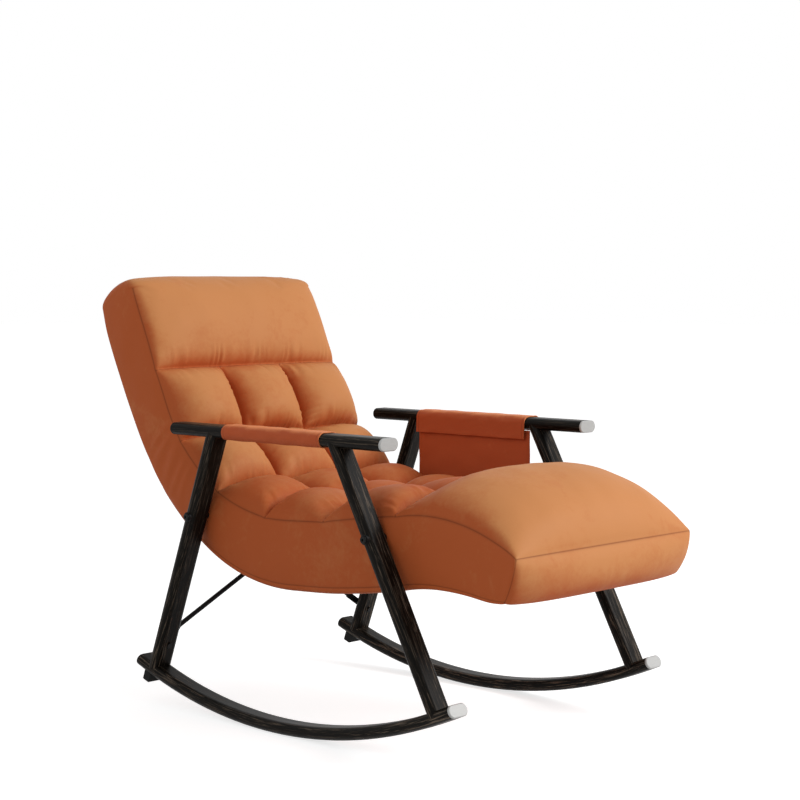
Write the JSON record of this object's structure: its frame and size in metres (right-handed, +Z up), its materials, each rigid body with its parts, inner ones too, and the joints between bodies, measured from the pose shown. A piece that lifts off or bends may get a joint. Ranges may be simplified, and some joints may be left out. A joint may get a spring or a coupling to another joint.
{
  "type": "rocking chair",
  "caption": "Reclined rocking chair on bowed oval-tube side frames, with a tufted leather-look pad from head to calf, a backrest that folds forward and a side pocket.",
  "frame": {"origin": "on the floor midway between the rockers, under the centre of their arc, close to the middle of the object's box", "axes": "+X to the sitter's left, +Y to the rear of the chair, +Z up; the chair faces -Y"},
  "size_m": [0.662, 1.1849, 0.8926],
  "materials": {
    "grained_tube": "black-brown wood-grain film on flat oval steel tube, satin",
    "bright_cap": "flat bright end cap",
    "dark_plug": "moulded dark end plug",
    "tip_stop": "matt black block",
    "inner_frame": "black powder coat, hidden inside the upholstery",
    "brace_rod": "black powder coat",
    "fastener": "black zinc",
    "elastic_strap": "woven elastic webbing, hidden",
    "upholstery": "orange-tan suede-like leather cloth over foam, sewn in puffs",
    "arm_leather": "orange-tan leather cloth, sewn"
  },
  "bodies": {
    "base": {"arm_front_caps": "bright_cap", "arm_rear_plugs": "dark_plug", "arm_sleeve_left": "arm_leather", "arm_sleeve_right": "arm_leather", "arm_tube_left": "grained_tube", "arm_tube_right": "grained_tube", "brace_bolts": "fastener", "brace_rod_left": "brace_rod", "brace_rod_right": "brace_rod", "brace_spacer": "fastener", "foot_crossbar": "inner_frame", "front_bolts": "fastener", "front_leg_left": "grained_tube", "front_leg_right": "grained_tube", "front_nuts": "fastener", "hip_bar": "inner_frame", "hip_cushion": "upholstery", "leg_cushion": "upholstery", "leg_saddle_washers": "fastener", "pivot_bolts": "fastener", "pivot_nuts": "fastener", "pocket": "arm_leather", "rail_saddle_washers": "fastener", "rear_leg_left": "grained_tube", "rear_leg_right": "grained_tube", "rocker_front_caps": "bright_cap", "rocker_left": "grained_tube", "rocker_rear_plugs": "dark_plug", "rocker_right": "grained_tube", "seat_crossbar": "inner_frame", "seat_cushion": "upholstery", "seat_hinge_plate_left": "inner_frame", "seat_hinge_plate_right": "inner_frame", "seat_rail_left": "inner_frame", "seat_rail_right": "inner_frame", "seat_spacers": "fastener", "seat_straps": "elastic_strap", "tip_stop_left": "tip_stop", "tip_stop_right": "tip_stop"},
    "backrest": {"back_rail_right": "inner_frame", "back_rail_left": "inner_frame", "lumbar_crossbar": "inner_frame", "head_crossbar": "inner_frame", "back_hinge_plate_right": "inner_frame", "back_hinge_plate_left": "inner_frame", "back_straps": "elastic_strap", "back_cushion": "upholstery", "head_cushion": "upholstery"}
  },
  "joints": [
    {"name": "backrest_fold", "type": "hinge", "parent": "base", "child": "backrest", "pos_m": [0, 0.24385, 0.408], "axis": [1, 0, 0], "range_deg": [0, 95], "deforming": ["hip_cushion"]}
  ]
}
